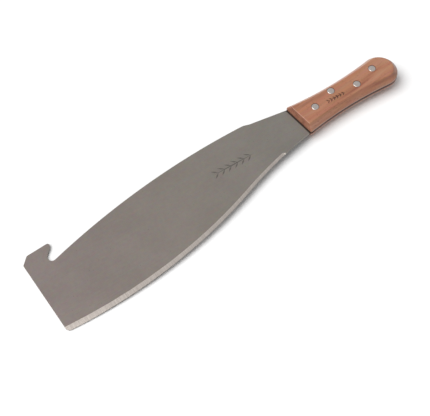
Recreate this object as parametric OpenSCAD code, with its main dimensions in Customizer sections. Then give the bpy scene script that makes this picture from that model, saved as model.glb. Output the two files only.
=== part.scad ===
// Cane knife: a wide hooked blade with a full tang, between two riveted wooden scales.
// X runs from the handle to the end of the blade, Y towards the cutting edge and Z up.
// The origin is the middle of the rivet pattern, on the flat underside of the handle.

/* [Blade] */
// Thickness of the sheet steel
blade_t = 2; // [1.6:0.1:2.4]
// X of the blade's end, on the handle's line
end_x = 405.3; // [400:0.1:415]
// How far the end leans back towards the cutting edge, in degrees
end_lean = 1.9; // [0:0.1:4]
// Radius of the corner between the end and the cutting edge
corner_r = 5; // [2:0.5:8]
// Radius of the spine's long outward curve
spine_r = 865; // [800:5:950]
// Where the spine stands furthest out, as X and Y
spine_top = [136, -23.5];
// Radius of the cutting edge's belly
belly_r = 600; // [560:5:650]
// Where the belly stands furthest out, as X and Y
belly_top = [369, 88.4];
// Radius of the hollow that leads from the handle into the belly
hollow_r = 540; // [500:5:580]
// X where the hollow turns into the belly
hollow_end_x = 159; // [150:1:170]
// Y of the spine side where the blade leaves the handle
neck_y = -14.1; // [-14.6:0.1:-13]

/* [Ground bevel] */
// X where the grinding starts
bevel_start_x = 100; // [90:1:120]
// Width of the bevel where it starts
bevel_w_start = 3.1; // [2.5:0.1:4]
// Width of the bevel at the blade's end
bevel_w_end = 5.8; // [5:0.1:8]
// Length over which the grinding wheel runs in
run_in = 3; // [2:0.5:6]
// Thickness that is left at the cutting edge
edge_t = 0.3; // [0.2:0.1:0.6]

/* [Hook] */
// Radius of the hook's throat
throat_r = 4.9; // [4.5:0.1:5.5]
// X of the throat's centre
throat_x = 375; // [372:0.5:377]
// Radius of the beak's blunt tip
beak_r = 2.4; // [1.5:0.1:2.6]

/* [Handle] */
// Thickness of one scale
scale_t = 10; // [8:0.5:12]
// X of the handle's front end, on the rivet line
front_x = 65; // [63:0.5:68]
// How far the front end leans, in degrees
front_lean = 7.6; // [4:0.2:12]
// Rounding of the two corners at the front end
front_corner = 2; // [0.5:0.1:3]
// Radius of the long hollow on the spine side
spine_side_r = 440; // [420:5:460]
// Where the spine side is slimmest, as X and Y
spine_waist = [25, -13.7];
// Radius of the long hollow on the edge side
edge_side_r = 453; // [440:1:480]
// Where the edge side is slimmest, as X and Y
edge_waist = [-18, 18.2];
// Radius of the rounded butt
butt_r = 19.7; // [19:0.1:20.5]
// How far the butt reaches further back on the edge side than on the spine side
butt_skew = 1.2; // [0:0.1:2]
// Width of the slope that is planed round each scale
slope_w = 5.4; // [4:0.1:5.4]
// Width of that slope at the front end, as a share of slope_w
front_share = 0.36; // [0.2:0.02:1]
// Height of the upright wall below the slope
wall_h = 3; // [1.5:0.5:4]

/* [Rivets] */
// Diameter of a rivet's head
head_d = 8; // [7:0.1:8.1]
// Thickness of a rivet's head at its middle
head_t = 1.2; // [1:0.1:1.5]
// Outer diameter of the cap's tube
tube_d = 5; // [4.6:0.1:5.4]
// Diameter of the pin's shank, driven into the tube
shank_d = 3.4; // [3:0.1:3.6]
// How far the heads lie below the wood
head_sink = 0.1; // [0.05:0.05:0.3]

/* [Hidden] */
rivet_at = [[42, 4], [15, -4], [-15, 4], [-42, -4]];
rivet_count = len(rivet_at);
$fn = 96;

steel = [0.52, 0.5, 0.47];
wood = [0.71, 0.52, 0.4];
rivet_metal = [0.78, 0.77, 0.75];

handle_t = 2 * scale_t + blade_t;
blade_face_z = scale_t + blade_t;

// Steps in the outlines' arcs.
long_steps = 26;
side_steps = 14;
butt_steps = 22;
small_steps = 8;

// ---- Shared functions ----

// Points of an arc about c, from one angle to another.
function arc(c, r, from, to, steps) =
    [for (i = [0:steps]) let (a = from + (to - from) * i / steps) c + r * [cos(a), sin(a)]];

// Angle at which a circle about c passes x, on the side of higher or of lower Y.
function angle_at(c, r, x, high) = (high ? 1 : -1) * acos((x - c.x) / r);

function direction(from, to) = atan2(to.y - from.y, to.x - from.x);

// Where two circles meet, on the side with the smaller X.
function circles_meet(c1, r1, c2, r2) =
    let (
        d = norm(c2 - c1),
        along = (c2 - c1) / d,
        a = (r1 * r1 - r2 * r2 + d * d) / (2 * d),
        h = sqrt(r1 * r1 - a * a),
        p = c1 + a * along + h * [-along.y, along.x],
        q = c1 + a * along - h * [-along.y, along.x]
    )
    p.x < q.x ? p : q;

// A rounded corner at b, from a to just before c.
function round_corner(a, b, c) =
    [for (t = [0:0.25:0.75]) (1 - t) * (1 - t) * a + 2 * t * (1 - t) * b + t * t * c];

// Joins rings of points, each with the same number, into one closed solid.
module skin(rings) {
    n = len(rings);
    m = len(rings[0]);
    points = [for (ring = rings, p = ring) p];
    sides = [
        for (i = [0:n - 2], j = [0:m - 1])
            let (k = (j + 1) % m, a = i * m, b = (i + 1) * m)
            each [[a + j, b + j, a + k], [a + k, b + j, b + k]]
    ];
    // Each cap is a strip of triangles from one side of the ring across to the other, as the
    // rings are hollow on both sides.
    first_cap = [
        for (j = [0:ceil(m / 2) - 2])
            let (far = m - 1 - j)
            each concat([[j, j + 1, far]], far - 1 > j + 1 ? [[j + 1, far - 1, far]] : [])
    ];
    last_cap = [for (t = first_cap) [for (i = [2, 1, 0]) (n - 1) * m + t[i]]];
    polyhedron(points, concat(sides, first_cap, last_cap), convexity = 6);
}

// Turns what belongs to the upper face of the handle over to the lower one.
module other_face() {
    translate([0, 0, handle_t])
        mirror([0, 0, 1])
            children();
}

// ---- Handle outline ----

spine_side_c = spine_waist - [0, spine_side_r];
edge_side_c = edge_waist + [0, edge_side_r];
// The butt's circle touches both long hollows.
butt_c = circles_meet(spine_side_c, spine_side_r + butt_r, edge_side_c, edge_side_r + butt_r);
spine_touch = direction(spine_side_c, butt_c);
edge_touch = direction(edge_side_c, butt_c);
// Angle left out of the butt's circle where it meets a side.
touch_gap = 7;

// Y of each side at x, with the outline drawn in by inset.
function edge_side_y(x, inset) =
    edge_side_c.y - sqrt(pow(edge_side_r + inset, 2) - pow(x - edge_side_c.x, 2));
function spine_side_y(x, inset) =
    spine_side_c.y + sqrt(pow(spine_side_r + inset, 2) - pow(x - spine_side_c.x, 2));

// X of the front end at height y, moved back by inset.
function front_at(y, inset) = front_x - inset / cos(front_lean) - tan(front_lean) * y;

// The two sides and the butt, drawn in by inset, from the front of the edge side round to
// the front of the spine side.
function handle_sides(inset, edge_front_x, spine_front_x) =
    let (
        edge_r = edge_side_r + inset,
        spine_r = spine_side_r + inset,
        r = butt_r - inset,
        edge_front = angle_at(edge_side_c, edge_r, edge_front_x, false),
        spine_front = angle_at(spine_side_c, spine_r, spine_front_x, true),
        butt = arc(
            butt_c, r, edge_touch + 180 + touch_gap, spine_touch + 180 - touch_gap, butt_steps
        )
    )
    concat(
        arc(edge_side_c, edge_r, edge_front, edge_touch, side_steps),
        [for (p = butt) p - [butt_skew * (p.y - butt_c.y) / r, 0]],
        arc(spine_side_c, spine_r, spine_touch, spine_front, side_steps)
    );

// One scale's outline, drawn in by inset all round and by front_inset at its front end.
function scale_outline(inset, front_inset) =
    let (
        edge_x = front_at(edge_side_y(front_x, inset), front_inset),
        spine_x = front_at(spine_side_y(front_x, inset), front_inset),
        edge_corner = [edge_x, edge_side_y(edge_x, inset)],
        spine_corner = [spine_x, spine_side_y(spine_x, inset)],
        gap = spine_corner - edge_corner,
        across = gap / norm(gap) * front_corner,
        edge_back = [edge_x - front_corner, edge_side_y(edge_x - front_corner, inset)],
        spine_back = [spine_x - front_corner, spine_side_y(spine_x - front_corner, inset)],
        side_gap = 0.5
    )
    concat(
        round_corner(edge_corner + across, edge_corner, edge_back),
        handle_sides(inset, edge_back.x, spine_back.x - side_gap),
        round_corner(spine_back, spine_corner, spine_corner - across),
        [spine_corner - across]
    );

// ---- Blade outline, from the tang round by way of the spine, the hook and the edge ----

spine_c = spine_top + [0, spine_r];
belly_c = belly_top - [0, belly_r];
hollow_turn = angle_at(belly_c, belly_r, hollow_end_x, true);
hollow_c = belly_c + (belly_r + hollow_r) * [cos(hollow_turn), sin(hollow_turn)];
throat_turn = angle_at(spine_c, spine_r + throat_r, throat_x, false);
throat_c = spine_c + (spine_r + throat_r) * [cos(throat_turn), sin(throat_turn)];
// Angle left out where one arc runs on into the next.
join_gap = 0.6;

// X of the blade's end at height y.
function end_at(y) = end_x - tan(end_lean) * y;

corner_y = belly_top.y - corner_r;
corner_x = end_at(corner_y) - corner_r / cos(end_lean);
corner_rise = sqrt(pow(belly_r - corner_r, 2) - pow(corner_x - belly_c.x, 2));
corner_c = [corner_x, belly_c.y + corner_rise];
corner_turn = direction(belly_c, corner_c);

// The tang lies just inside the scales and ends, as a shape, some way inside them too.
tang_gap = 0.2;
tang_edge_x = front_x - 12;
tang_spine_x = front_x - 8;
tang = handle_sides(tang_gap, tang_edge_x, tang_spine_x);

// A straight neck leads to a small round shoulder, where the spine's curve begins.
neck_start = [front_x - 4, neck_y + 0.6];
shoulder = [[113, -21.2], [116, -22.3], [118.8, -23.15]];
spine_start_x = 123;
spine_start = angle_at(spine_c, spine_r, spine_start_x, false);
spine_edge = concat(
    [neck_start],
    shoulder,
    arc(spine_c, spine_r, spine_start, throat_turn - join_gap, long_steps)
);

// The throat, the beak, the beak's straight back and the sloping corner beside the end.
throat_out_turn = -38;
beak_inside = [throat_c + [1.3, -5.9], throat_c + [-1.8, -8.3]];
beak_c = throat_c + [-2.2, -13.7];
beak_turn = 150;
beak_back_lean = 3.8;
beak_back_end = [throat_c.x + 21, beak_c.y - beak_r + 1.4];
end_top_y = -1.4;
hook = concat(
    arc(throat_c, throat_r, throat_turn + 180, throat_out_turn, side_steps),
    beak_inside,
    arc(beak_c, beak_r, beak_turn, 270 + beak_back_lean, small_steps),
    [beak_back_end, beak_back_end + [1.2, 0.5], [end_at(end_top_y) - 0.5, end_top_y]]
);

hollow_start = angle_at(hollow_c, hollow_r, front_x - 7, false);
cutting_edge = concat(
    arc(corner_c, corner_r, -end_lean, corner_turn, small_steps),
    arc(belly_c, belly_r, corner_turn + join_gap, hollow_turn, long_steps),
    arc(hollow_c, hollow_r, hollow_turn - 180 - join_gap, hollow_start, side_steps)
);

blade_outline = concat(tang, spine_edge, hook, cutting_edge);

// ---- Ground bevel ----

bevel_depth = (blade_t - edge_t) / 2;
// How far the wheel's wedge reaches above the steel, and beyond the edge.
above = 0.5;
beyond = 2;
// The wheel starts just off the steel, by this share of the bevel's width.
off_steel = 0.04;

function bevel_w(x) =
    bevel_w_start + (bevel_w_end - bevel_w_start) * (x - bevel_start_x) / (end_x - bevel_start_x);

// Share of the bevel's width that the wheel has reached at x.
function wheel_share(x) =
    let (t = min(1, (x - bevel_start_x) / run_in))
    sqrt(1 - pow(1 - t, 2)) * (1 + off_steel) - off_steel;

bevel_full_x = bevel_start_x + run_in;
bevel_length = end_x + 2 * beyond - bevel_full_x;
bevel_stations = concat(
    [for (t = [0, 0.1, 0.3, 0.6]) bevel_start_x + t * run_in],
    [for (i = [0:long_steps]) bevel_full_x + bevel_length * i / long_steps]
);

// A point beside the cutting edge at x, moved outwards by out.
function beside_edge(x, out) =
    x < hollow_end_x
        ? let (a = angle_at(hollow_c, hollow_r, x, false))
            hollow_c + (hollow_r - out) * [cos(a), sin(a)]
        : let (a = angle_at(belly_c, belly_r, x, true))
            belly_c + (belly_r + out) * [cos(a), sin(a)];

function wedge_section(x) =
    let (
        fall = bevel_depth / bevel_w(x),
        w = bevel_w(x) * wheel_share(x),
        inner = beside_edge(x, -w - above / fall),
        outer = beside_edge(x, beyond),
        high = blade_face_z + above,
        low = blade_face_z - (w + beyond) * fall
    )
    [[inner.x, inner.y, high], [outer.x, outer.y, low], [outer.x, outer.y, high]];

// What the wheel takes off the upper face.
module bevel_wedge() {
    skin([for (x = bevel_stations) wedge_section(x)]);
}

module blade() {
    color(steel)
        difference() {
            translate([0, 0, scale_t])
                linear_extrude(blade_t, convexity = 6)
                    polygon(blade_outline);
            bevel_wedge();
            other_face()
                bevel_wedge();
            for (at = rivet_at)
                translate([at.x, at.y, scale_t - 1])
                    cylinder(d = tube_d + 0.2, h = blade_t + 2);
        }
}

// ---- Scales ----

// The side of a scale, from the tang up: height above the tang, and how far the outline
// is drawn in there.
scale_side = [[0, 0], [wall_h, 0], [scale_t, slope_w]];
head_space_d = head_d + 0.3;
hole_d = tube_d + 0.1;
head_under_z = handle_t - head_sink - head_t;

function scale_ring(height, inset) =
    [for (p = scale_outline(inset, front_share * inset)) [p.x, p.y, blade_face_z + height]];

module upper_scale() {
    color(wood)
        difference() {
            skin([for (step = scale_side) scale_ring(step[0], step[1])]);
            for (at = rivet_at)
                translate([at.x, at.y, scale_t]) {
                    cylinder(d = hole_d, h = handle_t);
                    translate([0, 0, head_under_z - scale_t])
                        cylinder(d = head_space_d, h = handle_t);
                }
        }
}

module lower_scale() {
    other_face()
        upper_scale();
}

// ---- Rivets ----

dome_h = 0.25;
dome_r = (pow(head_d / 2, 2) + pow(dome_h, 2)) / (2 * dome_h);
tube_h = 14;
tube_bore_d = shank_d + 0.04;
tube_bore_h = tube_h - 0.5;
shank_h = 18.2;

// A low domed head that stands on z = 0.
module rivet_head() {
    intersection() {
        cylinder(d = head_d, h = head_t);
        translate([0, 0, head_t - dome_r])
            sphere(dome_r);
    }
}

module rivet_cap(at) {
    color(rivet_metal)
        translate([at.x, at.y, head_under_z])
            difference() {
                union() {
                    rivet_head();
                    translate([0, 0, -tube_h])
                        cylinder(d = tube_d, h = tube_h + head_t / 2);
                }
                translate([0, 0, -tube_h - 1])
                    cylinder(d = tube_bore_d, h = tube_bore_h + 1);
            }
}

module rivet_pin(at) {
    color(rivet_metal)
        other_face()
            translate([at.x, at.y, head_under_z])
                union() {
                    rivet_head();
                    translate([0, 0, -shank_h])
                        cylinder(d = shank_d, h = shank_h + head_t / 2);
                }
}

blade();
upper_scale();
lower_scale();
for (i = [1:rivet_count]) rivet_cap(rivet_at[i - 1]);
for (i = [1:rivet_count]) rivet_pin(rivet_at[i - 1]);
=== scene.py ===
from math import atan2, cos, radians, sin

import bmesh
import bpy
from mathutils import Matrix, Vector


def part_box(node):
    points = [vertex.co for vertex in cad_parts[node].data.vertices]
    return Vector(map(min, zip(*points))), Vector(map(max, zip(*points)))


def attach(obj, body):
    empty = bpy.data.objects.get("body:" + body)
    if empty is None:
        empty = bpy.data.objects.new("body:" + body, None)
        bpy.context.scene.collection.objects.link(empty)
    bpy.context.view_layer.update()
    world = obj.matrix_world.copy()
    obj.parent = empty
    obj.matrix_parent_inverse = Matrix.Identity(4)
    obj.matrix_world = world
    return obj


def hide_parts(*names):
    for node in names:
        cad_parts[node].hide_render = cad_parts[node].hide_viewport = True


# A cane knife: a hooked steel blade with a full tang between two riveted beech scales.
# X runs from the handle to the end of the blade, Y towards the cutting edge and Z up.

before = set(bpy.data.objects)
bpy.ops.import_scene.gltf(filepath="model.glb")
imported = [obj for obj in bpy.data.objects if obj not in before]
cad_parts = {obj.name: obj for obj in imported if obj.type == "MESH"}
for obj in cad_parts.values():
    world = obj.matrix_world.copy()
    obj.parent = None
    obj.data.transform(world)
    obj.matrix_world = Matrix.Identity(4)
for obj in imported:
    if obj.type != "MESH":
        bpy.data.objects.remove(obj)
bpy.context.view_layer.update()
MM = 0.001

# ---- Places taken from the frame ----

blade_low, blade_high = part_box("blade")
scale_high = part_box("upper_scale")[1]
tang_z = (blade_low.z + blade_high.z) / 2
# The front of the handle leans, and crosses the X axis 65 mm ahead of the rivet pattern's middle.
front_lean = radians(7.6)
front_reach = 65 * MM * cos(front_lean)
rivet_numbers = range(1, 5)


def rivet_place(number):
    """Middle of a rivet, seen from above."""
    low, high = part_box(f"rivet_cap_{number}")
    return (low.x + high.x) / 2, (low.y + high.y) / 2


# ---- Camera ----

view_azimuth = radians(57.14)
view_elevation = radians(60)
view_distance = 1.25
view_target = Vector((198.2, 42.0, 0)) * MM
view_offset = Vector((
    cos(view_elevation) * cos(view_azimuth),
    cos(view_elevation) * sin(view_azimuth),
    sin(view_elevation),
)) * view_distance

bpy.ops.object.camera_add(location=view_target + view_offset)
camera = bpy.context.object
camera.name = "camera"
camera.rotation_euler = (-view_offset).to_track_quat("-Z", "Y").to_euler()
camera.data.lens = 97.8
camera.data.sensor_width = 36
bpy.context.scene.camera = camera
# Plain colours, so that white paper stays white.
bpy.context.scene.view_settings.view_transform = "Standard"


# ---- Working by hand in edit mode ----

def take(piece):
    """Selects one object only and makes it the active one."""
    bpy.ops.object.select_all(action="DESELECT")
    piece.select_set(True)
    bpy.context.view_layer.objects.active = piece


def edit(piece):
    take(piece)
    bpy.ops.object.mode_set(mode="EDIT")


def done():
    bpy.ops.object.mode_set(mode="OBJECT")


def pick(piece, kind, test):
    """In edit mode, selects the vertices, edges or faces that pass a test, and nothing else."""
    bpy.ops.mesh.select_mode(type=kind)
    bpy.ops.mesh.select_all(action="DESELECT")
    shape = bmesh.from_edit_mesh(piece.data)
    items = {"VERT": shape.verts, "EDGE": shape.edges, "FACE": shape.faces}[kind]
    for item in items:
        if test(item):
            item.select_set(True)
    shape.select_flush_mode()
    bmesh.update_edit_mesh(piece.data)


def use(piece, kind, **settings):
    """Adds a modifier to a piece and applies it."""
    take(piece)
    bpy.ops.object.modifier_add(type=kind)
    modifier = piece.modifiers[-1]
    for name, value in settings.items():
        setattr(modifier, name, value)
    bpy.ops.object.modifier_apply(modifier=modifier.name)


def fix_place(piece):
    """Moves a piece's place, turn and size into its mesh."""
    take(piece)
    bpy.ops.object.transform_apply(location=True, rotation=True, scale=True)


def copy_mesh(source, name):
    copy = bpy.data.objects.new(name, source.data.copy())
    bpy.context.scene.collection.objects.link(copy)
    return copy


def cad_copy(node, name):
    """A copy of a CAD node, with its loose triangles merged into one skin."""
    copy = copy_mesh(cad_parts[node], name)
    edit(copy)
    bpy.ops.mesh.select_all(action="SELECT")
    bpy.ops.mesh.remove_doubles(threshold=0.001 * MM)
    done()
    return copy


def join(pieces):
    take(pieces[0])
    for piece in pieces[1:]:
        piece.select_set(True)
    bpy.ops.object.join()
    return pieces[0]


def middle(item):
    """Middle of an edge or a face."""
    if isinstance(item, bmesh.types.BMFace):
        return item.calc_center_median()
    return (item.verts[0].co + item.verts[1].co) / 2


def smooth(piece, angle):
    """Shades a piece smooth up to an angle, and keeps its large faces flat."""
    take(piece)
    bpy.ops.object.shade_smooth_by_angle(angle=radians(angle), keep_sharp_edges=True)
    use(piece, "WEIGHTED_NORMAL", keep_sharp=True, weight=100)


# ---- Materials ----

def colour(code, alpha=1.0):
    """An sRGB hex colour as the linear values that nodes take."""
    parts = [int(code[i:i + 2], 16) / 255 for i in (0, 2, 4)]
    linear = [p / 12.92 if p <= 0.04045 else ((p + 0.055) / 1.055) ** 2.4 for p in parts]
    return (*linear, alpha)


def add(tree, kind, inputs=None, stops=None, **settings):
    """Adds a node with its settings. An input is a value, or an output to link."""
    made = tree.nodes.new(kind)
    for name, value in settings.items():
        setattr(made, name, value)
    for key, value in (inputs or {}).items():
        if isinstance(value, bpy.types.NodeSocket):
            tree.links.new(value, made.inputs[key])
        else:
            made.inputs[key].default_value = value
    if stops:
        ramp = made.color_ramp.elements
        while len(ramp) < len(stops):
            ramp.new(0.5)
        for element, (place, shade) in zip(ramp, stops):
            element.position = place
            element.color = shade if isinstance(shade, tuple) else (shade, shade, shade, 1)
    return made


def new_material(name):
    """An empty material, with its tree, its shader and the piece's own coordinates."""
    material = bpy.data.materials.new(name)
    material.use_nodes = True
    tree = material.node_tree
    shader = tree.nodes["Principled BSDF"]
    place = add(tree, "ShaderNodeTexCoord").outputs["Object"]
    return material, tree, shader, place


def darken(tree, under, mask, shade, amount):
    """Lays a darker shade over a colour where a mask is 1."""
    strength = add(tree, "ShaderNodeMath", {0: mask, 1: amount}, operation="MULTIPLY")
    over = add(tree, "ShaderNodeMix", {
        "Factor": strength.outputs["Value"], "A": under, "B": colour(shade),
    }, data_type="RGBA", blend_type="MULTIPLY")
    return over.outputs["Result"]


def rolled_steel():
    """Cold-rolled carbon steel, satin-polished along the blade and lightly oiled.

    The eye gets a warm mid grey with a broad soft shine, faint patches a few centimetres
    wide, fine lines along the blade and a few small dark specks.
    """
    material, tree, shader, place = new_material("rolled_carbon_steel")
    # The sheet's tint drifts from a greenish grey at the handle to a pinkish one at the end.
    along_blade = add(tree, "ShaderNodeSeparateXYZ", {"Vector": place})
    reach = add(tree, "ShaderNodeMapRange", {
        "Value": along_blade.outputs["X"], "From Min": 60 * MM, "From Max": 400 * MM,
    })
    tint = add(tree, "ShaderNodeValToRGB", {"Fac": reach.outputs["Result"]}, stops=[
        (0.0, colour("948F89")), (0.45, colour("928B84")), (1.0, colour("887E7A")),
    ])
    cloud = add(tree, "ShaderNodeTexNoise", {"Vector": place, "Scale": 22, "Detail": 3})
    soft_cloud = add(tree, "ShaderNodeValToRGB", {"Fac": cloud.outputs["Fac"]}, stops=[
        (0.35, 0.46), (0.65, 0.55),
    ])
    clouded = add(tree, "ShaderNodeMix", {
        "Factor": 0.6, "A": tint.outputs["Color"], "B": soft_cloud.outputs["Color"],
    }, data_type="RGBA", blend_type="SOFT_LIGHT")
    # Rolling leaves a finer mottle, a few millimetres wide.
    mottle = add(tree, "ShaderNodeTexNoise", {
        "Vector": place, "Scale": 1 / (4 * MM), "Detail": 5, "Roughness": 0.65,
    })
    mottled = add(tree, "ShaderNodeMix", {
        "Factor": 0.2, "A": clouded.outputs["Result"], "B": mottle.outputs["Color"],
    }, data_type="RGBA", blend_type="SOFT_LIGHT")
    # Polishing lines lie about 0.1 mm apart; they are drawn 0.4 mm apart so that they show.
    along = add(tree, "ShaderNodeMapping", {"Vector": place, "Scale": (14, 1 / (0.4 * MM), 400)})
    lines = add(tree, "ShaderNodeTexNoise", {
        "Vector": along.outputs["Vector"], "Scale": 1, "Detail": 4, "Roughness": 0.6,
    })
    lined = add(tree, "ShaderNodeMix", {
        "Factor": 0.22, "A": mottled.outputs["Result"], "B": lines.outputs["Color"],
    }, data_type="RGBA", blend_type="SOFT_LIGHT")
    specks = add(tree, "ShaderNodeTexVoronoi", {"Vector": place, "Scale": 160})
    speck = add(tree, "ShaderNodeValToRGB", {"Fac": specks.outputs["Distance"]}, stops=[
        (0.03, 0.72), (0.09, 1.0),
    ])
    final = add(tree, "ShaderNodeMix", {
        "Factor": 1.0, "A": lined.outputs["Result"], "B": speck.outputs["Color"],
    }, data_type="RGBA", blend_type="MULTIPLY")
    # A dark line on the blade against the front of the handle: partly old oil and dust, partly painted
    # shade under the handle's front edge.
    ahead = add(tree, "ShaderNodeVectorMath", {
        0: place, 1: (cos(front_lean), sin(front_lean), 0),
    }, operation="DOT_PRODUCT")
    dirt_and_shade_line_mask = add(tree, "ShaderNodeMapRange", {
        "Value": ahead.outputs["Value"], "From Min": front_reach + 1.1 * MM,
        "From Max": front_reach + 2.0 * MM, "To Min": 1.0, "To Max": 0.0,
    })
    steel_with_dirt_and_shade_line = darken(tree, final.outputs["Result"], dirt_and_shade_line_mask.outputs["Result"], "5C463C", 0.88)
    rough = add(tree, "ShaderNodeMapRange", {
        "Value": lines.outputs["Fac"], "To Min": 0.46, "To Max": 0.6,
    })
    bump = add(tree, "ShaderNodeBump", {
        "Height": lines.outputs["Fac"], "Strength": 0.12, "Distance": 0.05 * MM,
    })
    tree.links.new(steel_with_dirt_and_shade_line, shader.inputs["Base Color"])
    tree.links.new(rough.outputs["Result"], shader.inputs["Roughness"])
    tree.links.new(bump.outputs["Normal"], shader.inputs["Normal"])
    shader.inputs["Metallic"].default_value = 1.0
    return material


def ground_steel():
    """The same steel, freshly belt-ground across the edge.

    It looks much brighter than the flat, with close scratches that run across the bevel.
    """
    material, tree, shader, place = new_material("ground_carbon_steel")
    across = add(tree, "ShaderNodeMapping", {"Vector": place, "Scale": (1 / (0.35 * MM), 40, 40)})
    lines = add(tree, "ShaderNodeTexNoise", {
        "Vector": across.outputs["Vector"], "Scale": 1, "Detail": 4, "Roughness": 0.6,
    })
    shade = add(tree, "ShaderNodeValToRGB", {"Fac": lines.outputs["Fac"]}, stops=[
        (0.3, colour("C0B6AF")), (0.7, colour("DDD4CC")),
    ])
    rough = add(tree, "ShaderNodeMapRange", {
        "Value": lines.outputs["Fac"], "To Min": 0.26, "To Max": 0.44,
    })
    bump = add(tree, "ShaderNodeBump", {
        "Height": lines.outputs["Fac"], "Strength": 0.25, "Distance": 0.05 * MM,
    })
    tree.links.new(shade.outputs["Color"], shader.inputs["Base Color"])
    tree.links.new(rough.outputs["Result"], shader.inputs["Roughness"])
    tree.links.new(bump.outputs["Normal"], shader.inputs["Normal"])
    # Torn, unpolished scratches scatter some of the light.
    shader.inputs["Metallic"].default_value = 0.85
    return material


def etched_steel():
    """Steel bitten by acid: a dull darker grey with a fine grain."""
    material, tree, shader, place = new_material("etched_carbon_steel")
    grain = add(tree, "ShaderNodeTexNoise", {"Vector": place, "Scale": 1 / (0.3 * MM), "Detail": 3})
    shade = add(tree, "ShaderNodeValToRGB", {"Fac": grain.outputs["Fac"]}, stops=[
        (0.3, colour("5F5B57")), (0.7, colour("78736D")),
    ])
    tree.links.new(shade.outputs["Color"], shader.inputs["Base Color"])
    shader.inputs["Metallic"].default_value = 0.8
    shader.inputs["Roughness"].default_value = 0.65
    return material


def beech():
    """Steamed beech, sanded and lacquered.

    The eye gets a pinkish light brown with long soft bands, thin growth lines, short dark
    ray flecks along the grain, and the low shine of a thin lacquer.
    """
    material, tree, shader, place = new_material("lacquered_beech")
    # The grain runs a few degrees across the handle.
    grain = add(tree, "ShaderNodeMapping", {"Vector": place, "Rotation": (0.1, 0.03, radians(-6))})
    broad = add(tree, "ShaderNodeMapping", {
        "Vector": grain.outputs["Vector"], "Scale": (1 / (90 * MM), 1 / (11 * MM), 1 / (11 * MM)),
    })
    bands = add(tree, "ShaderNodeTexNoise", {
        "Vector": broad.outputs["Vector"], "Scale": 1, "Detail": 2, "Distortion": 0.4,
    })
    banded = add(tree, "ShaderNodeValToRGB", {"Fac": bands.outputs["Fac"]}, stops=[
        (0.3, colour("87543C")), (0.5, colour("A46D52")), (0.7, colour("AE7D63")),
    ])
    narrow = add(tree, "ShaderNodeMapping", {
        "Vector": grain.outputs["Vector"], "Scale": (1 / (60 * MM), 1 / (1.6 * MM), 1 / (1.6 * MM)),
    })
    rings = add(tree, "ShaderNodeTexNoise", {
        "Vector": narrow.outputs["Vector"], "Scale": 1, "Detail": 3, "Distortion": 0.3,
    })
    ringed = add(tree, "ShaderNodeMix", {
        "Factor": 0.35, "A": banded.outputs["Color"], "B": rings.outputs["Color"],
    }, data_type="RGBA", blend_type="SOFT_LIGHT")
    short = add(tree, "ShaderNodeMapping", {
        "Vector": grain.outputs["Vector"], "Scale": (1 / (3.5 * MM), 1 / (0.5 * MM), 1 / (0.9 * MM)),
    })
    rays = add(tree, "ShaderNodeTexNoise", {"Vector": short.outputs["Vector"], "Scale": 1, "Detail": 1})
    fleck = add(tree, "ShaderNodeValToRGB", {"Fac": rays.outputs["Fac"]}, stops=[
        (0.27, colour("8E5A3E")), (0.36, colour("FFFFFF")),
    ])
    flecked = add(tree, "ShaderNodeMix", {
        "Factor": 0.6, "A": ringed.outputs["Result"], "B": fleck.outputs["Color"],
    }, data_type="RGBA", blend_type="MULTIPLY")
    thin = add(tree, "ShaderNodeMapping", {
        "Vector": grain.outputs["Vector"], "Scale": (1 / (9 * MM), 1 / (0.25 * MM), 1 / (0.25 * MM)),
    })
    fibre = add(tree, "ShaderNodeTexNoise", {"Vector": thin.outputs["Vector"], "Scale": 1, "Detail": 3})
    bump = add(tree, "ShaderNodeBump", {
        "Height": fibre.outputs["Fac"], "Strength": 0.2, "Distance": 0.08 * MM,
    })
    # End grain drinks the finish, so the front and the butt are darker than the long sides.
    facing = add(tree, "ShaderNodeTexCoord")
    turned = add(tree, "ShaderNodeSeparateXYZ", {"Vector": facing.outputs["Normal"]})
    lengthways = add(tree, "ShaderNodeMath", {0: turned.outputs["X"]}, operation="ABSOLUTE")
    end_grain = add(tree, "ShaderNodeMapRange", {
        "Value": lengthways.outputs["Value"], "From Min": 0.3, "From Max": 0.8,
    })
    ended = darken(tree, flecked.outputs["Result"], end_grain.outputs["Result"], "B08D7E", 0.5)
    # A dark line on the wood along the joint with the tang: partly lacquer and dirt, partly painted
    # shade in the crease between scale and tang.
    height = add(tree, "ShaderNodeSeparateXYZ", {"Vector": place})
    off_middle = add(tree, "ShaderNodeMath", {0: height.outputs["Z"], 1: tang_z}, operation="SUBTRACT")
    off_tang = add(tree, "ShaderNodeMath", {0: off_middle.outputs["Value"]}, operation="ABSOLUTE")
    dirt_and_shade_line_mask = add(tree, "ShaderNodeMapRange", {
        "Value": off_tang.outputs["Value"], "From Min": 1.5 * MM, "From Max": 2.6 * MM,
        "To Min": 1.0, "To Max": 0.0,
    })
    wood_with_dirt_and_shade_line = darken(tree, ended, dirt_and_shade_line_mask.outputs["Result"], "6B4434", 0.85)
    tree.links.new(wood_with_dirt_and_shade_line, shader.inputs["Base Color"])
    tree.links.new(bump.outputs["Normal"], shader.inputs["Normal"])
    shader.inputs["Roughness"].default_value = 0.48
    shader.inputs["Coat Weight"].default_value = 0.35
    shader.inputs["Coat Roughness"].default_value = 0.3
    return material


def burnt_beech():
    """Beech scorched by a hot stamp: dark brown and dull."""
    material, tree, shader, place = new_material("burnt_beech")
    grain = add(tree, "ShaderNodeTexNoise", {"Vector": place, "Scale": 1 / (0.6 * MM), "Detail": 2})
    shade = add(tree, "ShaderNodeValToRGB", {"Fac": grain.outputs["Fac"]}, stops=[
        (0.3, colour("442A1D")), (0.7, colour("65402E")),
    ])
    tree.links.new(shade.outputs["Color"], shader.inputs["Base Color"])
    shader.inputs["Roughness"].default_value = 0.7
    return material


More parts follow.
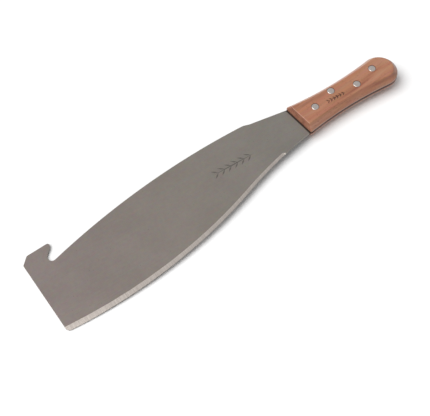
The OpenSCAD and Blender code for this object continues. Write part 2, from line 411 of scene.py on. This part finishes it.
def beech_in_painted_shade():
    """Bare wood round a rivet, painted a dark red brown as the shade inside the counterbore."""
    material, tree, shader, place = new_material("beech_in_painted_shade")
    grain = add(tree, "ShaderNodeTexNoise", {"Vector": place, "Scale": 1 / (0.5 * MM), "Detail": 2})
    shade = add(tree, "ShaderNodeValToRGB", {"Fac": grain.outputs["Fac"]}, stops=[
        (0.3, colour("553021")), (0.7, colour("714533")),
    ])
    tree.links.new(shade.outputs["Color"], shader.inputs["Base Color"])
    shader.inputs["Roughness"].default_value = 0.6
    return material


def tumbled_aluminium():
    """Aluminium, turned and tumbled: a light silver grey with fine scratches every way."""
    material, tree, shader, place = new_material("tumbled_aluminium")
    dull = add(tree, "ShaderNodeTexNoise", {"Vector": place, "Scale": 1 / (0.8 * MM), "Detail": 4})
    shade = add(tree, "ShaderNodeValToRGB", {"Fac": dull.outputs["Fac"]}, stops=[
        (0.3, colour("BDB4AF")), (0.7, colour("D6CEC9")),
    ])
    rough = add(tree, "ShaderNodeMapRange", {
        "Value": dull.outputs["Fac"], "To Min": 0.24, "To Max": 0.42,
    })
    tree.links.new(shade.outputs["Color"], shader.inputs["Base Color"])
    tree.links.new(rough.outputs["Result"], shader.inputs["Roughness"])
    # The tumbled skin has a thin white oxide, which scatters some of the light.
    shader.inputs["Metallic"].default_value = 0.75
    return material


steel_face = rolled_steel()
steel_bevel = ground_steel()
steel_etched = etched_steel()
wood = beech()
wood_burnt = burnt_beech()
wood_in_painted_shade = beech_in_painted_shade()
rivet_metal = tumbled_aluminium()


# ---- Marks: a plain sprig, etched into the blade and burnt into the handle ----

blade_mark_place = Vector((156 * MM, 13 * MM, blade_high.z))
blade_mark_length = 50 * MM
etched_depth = 0.05 * MM
handle_mark_place = Vector((15 * MM, 6 * MM, scale_high.z))
handle_mark_length = 24 * MM
burnt_depth = 0.25 * MM
# A hot stamp spreads, so the burnt mark's leaves and stem are this much wider for its length.
burnt_fullness = 1.8


def flat_lozenge(length, width, place, turn, depth):
    """A thin upright prism with a lozenge outline, which cuts depth deep at place."""
    above = 1 * MM
    bpy.ops.mesh.primitive_cylinder_add(
        vertices=4, radius=0.5, depth=1, location=(*place.xy, place.z + (above - depth) / 2),
    )
    leaf = bpy.context.object
    leaf.scale = (length, width, above + depth)
    leaf.rotation_euler = (0, 0, turn)
    fix_place(leaf)
    return leaf


def sprig(middle_place, length, depth, material, fullness=1.0):
    """A straight stem with pairs of leaves, as a cutter for an engraved mark."""
    pairs = 6
    leaf_length = length * 0.17
    leaf_width = length * 0.034 * fullness
    lean = radians(38)
    stem = flat_lozenge(length * 1.06, length * 0.03 * fullness, middle_place, 0, depth)
    leaves = [stem]
    for pair in range(pairs):
        root = Vector((length * ((pair + 0.5) / pairs - 0.54), 0, 0))
        for side in (1, -1):
            reach = Vector((cos(lean), side * sin(lean), 0)) * leaf_length * 0.52
            place = middle_place + root + reach
            leaves.append(flat_lozenge(leaf_length, leaf_width, place, side * lean, depth))
    cutter = join(leaves)
    cutter.data.materials.clear()
    cutter.data.materials.append(material)
    return cutter


def cut(piece, cutter, crossing=False):
    """Takes the cutter away from the piece. The walls of the cut keep the cutter's material.

    A cutter whose own parts cross each other needs crossing set.
    """
    use(piece, "BOOLEAN", operation="DIFFERENCE", solver="EXACT", use_self=crossing,
        material_mode="TRANSFER", object=cutter)
    bpy.data.objects.remove(cutter)


# ---- Blade ----

edge_rounding = 0.14 * MM
# Only the outline ahead of this place is rounded; the tang's edges lie between the scales.
rounded_from_x = scale_high.x - 12 * MM
# The bevels lie beyond this on the cutting-edge side.
bevel_from_y = 15 * MM


def make_blade():
    """The CAD blade with its sheared edges rounded and its mark etched in."""
    blade = cad_copy("blade", "hooked_blade")
    blade.data.materials.clear()
    blade.data.materials.append(steel_face)
    blade.data.materials.append(steel_bevel)
    edit(blade)
    bpy.ops.mesh.select_all(action="SELECT")
    bpy.ops.mesh.dissolve_limited(angle_limit=radians(0.3))

    def on_outline(edge):
        return middle(edge).x > rounded_from_x and edge.calc_face_angle(0) > radians(40)

    def on_bevel(face):
        return 0.9 < abs(face.normal.z) < 0.9995 and middle(face).y > bevel_from_y

    pick(blade, "EDGE", on_outline)
    bpy.ops.mesh.bevel(offset=edge_rounding, segments=2, affect="EDGES", clamp_overlap=True)
    pick(blade, "FACE", on_bevel)
    blade.active_material_index = 1
    bpy.ops.object.material_slot_assign()
    done()
    mark = sprig(blade_mark_place, blade_mark_length, etched_depth, steel_etched)
    cut(blade, mark, crossing=True)
    smooth(blade, 30)
    return blade


# ---- Handle scales ----

wall_top_z = blade_high.z + 3 * MM
cap_low, cap_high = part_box("rivet_cap_1")
head_r = (cap_high.x - cap_low.x) / 2
head_t = 1.2 * MM
seat_r = head_r + 0.15 * MM
seat_z = cap_high.z - head_t
hole_r = 2.55 * MM
# Roundings of a scale: the ridge round its face, the top of its wall, and its lower rim.
ridge_rounding = 1 * MM
wall_rounding = 0.8 * MM
rim_rounding = 0.3 * MM


def level_outline(z):
    """Picks the edges of a scale's outline at height z, without the rivet holes."""
    places = [Vector(rivet_place(number)) for number in rivet_numbers]

    def test(edge):
        if any(abs(vert.co.z - z) > 0.01 * MM for vert in edge.verts):
            return False
        clear = min((middle(edge).xy - place).length for place in places)
        beside_side = any(abs(face.normal.z) < 0.95 for face in edge.link_faces)
        return clear > seat_r + 0.1 * MM and beside_side
    return test


def make_upper_scale():
    """One scale: outline, upright wall, planed slope and flat face, then its counterbores."""
    scale = cad_copy("upper_scale", "upper_beech_scale")
    scale.data.materials.clear()
    scale.data.materials.append(wood)
    levels = (blade_high.z, wall_top_z, scale_high.z)
    edit(scale)
    tests = [level_outline(z) for z in levels]
    pick(scale, "EDGE", lambda edge: not any(test(edge) for test in tests))
    bpy.ops.mesh.delete(type="EDGE_FACE")
    bpy.ops.mesh.select_all(action="SELECT")
    bpy.ops.mesh.delete(type="ONLY_FACE")
    bpy.ops.mesh.delete_loose(use_verts=True, use_edges=False, use_faces=False)

    def at(*heights):
        return lambda edge: any(abs(middle(edge).z - z) < 0.01 * MM for z in heights)

    pick(scale, "EDGE", at(levels[0], levels[1]))
    bpy.ops.mesh.bridge_edge_loops()
    pick(scale, "EDGE", at(levels[1], levels[2]))
    bpy.ops.mesh.bridge_edge_loops()
    for level in (levels[0], levels[2]):
        pick(scale, "EDGE", at(level))
        bpy.ops.mesh.edge_face_add()
    bpy.ops.mesh.select_all(action="SELECT")
    bpy.ops.mesh.normals_make_consistent(inside=False)
    pick(scale, "EDGE", at(levels[2]))
    bpy.ops.mesh.bevel(offset=ridge_rounding, segments=5, affect="EDGES", clamp_overlap=False)
    pick(scale, "EDGE", at(levels[1]))
    bpy.ops.mesh.bevel(offset=wall_rounding, segments=4, affect="EDGES", clamp_overlap=False)
    pick(scale, "EDGE", at(levels[0]))
    bpy.ops.mesh.bevel(offset=rim_rounding, segments=2, affect="EDGES", clamp_overlap=False)
    done()
    for number in rivet_numbers:
        cut(scale, counterbore(number))
    smooth(scale, 30)
    return scale


def stamp(scale):
    """Burns the mark into the upper scale, the only one that has it."""
    mark = sprig(handle_mark_place, handle_mark_length, burnt_depth, wood_burnt, burnt_fullness)
    cut(scale, mark, crossing=True)
    smooth(scale, 30)


def counterbore(number):
    """The hole for one rivet: a wide round seat for the head over a narrow way through."""
    x, y = rivet_place(number)
    bpy.ops.mesh.primitive_cylinder_add(
        vertices=64, radius=seat_r, depth=10 * MM, location=(x, y, seat_z + 5 * MM),
    )
    cutter = bpy.context.object
    fix_place(cutter)
    edit(cutter)
    pick(cutter, "FACE", lambda face: face.normal.z < -0.9)
    bpy.ops.mesh.inset(thickness=seat_r - hole_r)
    bpy.ops.mesh.extrude_region_move(TRANSFORM_OT_translate={"value": (0, 0, tang_z - seat_z)})
    done()
    # The drill has eased the rim of the hole; that narrow slope is painted dark, as shade.
    ease = 0.3 * MM
    bpy.ops.mesh.primitive_cone_add(
        vertices=64, radius1=seat_r, radius2=seat_r + 2 * ease, depth=2 * ease,
        location=(x, y, scale_high.z),
    )
    rim = bpy.context.object
    fix_place(rim)
    # The hole's walls and its eased rim take the dark wood: painted shade inside the counterbore.
    cutter.data.materials.append(wood_in_painted_shade)
    rim.data.materials.append(wood_in_painted_shade)
    use(cutter, "BOOLEAN", operation="UNION", solver="EXACT", object=rim)
    bpy.data.objects.remove(rim)
    return cutter


def mirrored(source, name):
    """A copy turned over to the other side of the tang."""
    copy = copy_mesh(source, name)
    copy.location.z = 2 * tang_z
    copy.scale.z = -1
    fix_place(copy)
    edit(copy)
    bpy.ops.mesh.select_all(action="SELECT")
    bpy.ops.mesh.normals_make_consistent(inside=False)
    done()
    return copy


# ---- Rivets ----

rim_t = 0.95 * MM
tube_r = 2.5 * MM
bore_r = 1.72 * MM
shank_r = 1.7 * MM
shank_tip = 0.3 * MM
# What is left between the tube's bore and the head.
bore_end = 0.5 * MM
# Steps from the rim of a head to its middle: width and rise, in millimetres.
dome_steps = ((0.25, 0.12), (0.35, 0.08), (0.5, 0.03), (1.2, 0.015), (1.0, 0.005))


def make_rivet(number, kind):
    """A rivet of two halves: a cap with a tube, or a pin with a solid shank."""
    low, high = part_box(f"rivet_cap_{number}")
    pin_low, pin_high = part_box(f"rivet_pin_{number}")
    x, y = rivet_place(number)
    own_head_r = (high.x - low.x) / 2
    stem_r = tube_r if kind == "cap" else shank_r
    stem = high.z - head_t - low.z if kind == "cap" else pin_high.z - pin_low.z - head_t
    bpy.ops.mesh.primitive_cylinder_add(
        vertices=64, radius=own_head_r, depth=rim_t, location=(x, y, high.z - head_t + rim_t / 2),
    )
    rivet = bpy.context.object
    rivet.name = f"rivet_{kind}_{number}_metal"
    fix_place(rivet)
    edit(rivet)
    pick(rivet, "FACE", lambda face: face.normal.z > 0.9)
    for width, rise in dome_steps:
        bpy.ops.mesh.inset(thickness=width * MM, depth=rise * MM)
    pick(rivet, "FACE", lambda face: face.normal.z < -0.9)
    bpy.ops.mesh.inset(thickness=own_head_r - stem_r)
    bpy.ops.mesh.extrude_region_move(TRANSFORM_OT_translate={"value": (0, 0, -stem)})
    if kind == "cap":
        bpy.ops.mesh.inset(thickness=tube_r - bore_r)
        bpy.ops.mesh.extrude_region_move(TRANSFORM_OT_translate={"value": (0, 0, stem - bore_end)})
    else:
        bpy.ops.mesh.inset(thickness=shank_tip, depth=shank_tip)
    done()
    rivet.data.materials.append(rivet_metal)
    smooth(rivet, 30)
    return rivet


# ---- Building the knife ----

blade = make_blade()
upper = make_upper_scale()
lower = mirrored(upper, "lower_beech_scale")
stamp(upper)
pieces = [
    (blade, "blade", "blade_steel"),
    (upper, "upper_scale", "handle_wood"),
    (lower, "lower_scale", "handle_wood"),
]
for number in rivet_numbers:
    cap = make_rivet(number, "cap")
    pin_up = make_rivet(number, "pin")
    pin = mirrored(pin_up, f"rivet_pin_{number}_turned")
    bpy.data.objects.remove(pin_up)
    pieces.append((cap, f"rivet_cap_{number}", "rivet_aluminium"))
    pieces.append((pin, f"rivet_pin_{number}", "rivet_aluminium"))

for piece, node, slot in pieces:
    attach(piece, "root")
    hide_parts(node)

# ---- Floor and light ----

# The knife lies on the front of its handle and on the end of its blade, so the floor under
# it rises a little towards the blade's end.
contact_x = scale_high.x - 3 * MM
floor_slope = atan2(blade_low.z, blade_high.x - contact_x)
bpy.ops.mesh.primitive_plane_add(size=8, location=(contact_x, 0, 0), rotation=(0, -floor_slope, 0))
floor = bpy.context.object
floor.name = "floor"
floor_paint = bpy.data.materials.new("white_paper")
floor_paint.use_nodes = True
paper = floor_paint.node_tree.nodes["Principled BSDF"]
paper.inputs["Base Color"].default_value = colour("FAFAFA")
paper.inputs["Roughness"].default_value = 0.9
floor.data.materials.append(floor_paint)

world = bpy.data.worlds.new("studio")
bpy.context.scene.world = world
world.use_nodes = True
world.node_tree.nodes["Background"].inputs["Color"].default_value = colour("FFFFFF")
room_light = 0.42
# The lens sees a white backdrop, while the knife is lit and mirrored by a dimmer room.
sight = add(world.node_tree, "ShaderNodeLightPath")
glow = add(world.node_tree, "ShaderNodeMapRange", {
    "Value": sight.outputs["Is Camera Ray"], "To Min": room_light, "To Max": 1.0,
})
world.node_tree.links.new(
    glow.outputs["Result"], world.node_tree.nodes["Background"].inputs["Strength"],
)


# A very wide, far lamp lights the floor evenly right out to its edge. It hangs off the
# knife's end, so that the blade doesn't mirror it straight at the lens.
lamp_place = Vector((1.1, -0.42, 1.9))
bpy.ops.object.light_add(type="SUN", location=lamp_place)
lamp = bpy.context.object
lamp.name = "far_softbox"
lamp.data.angle = radians(50)
lamp.data.energy = 2.75
lamp.rotation_euler = (-lamp_place).to_track_quat("-Z", "Y").to_euler()
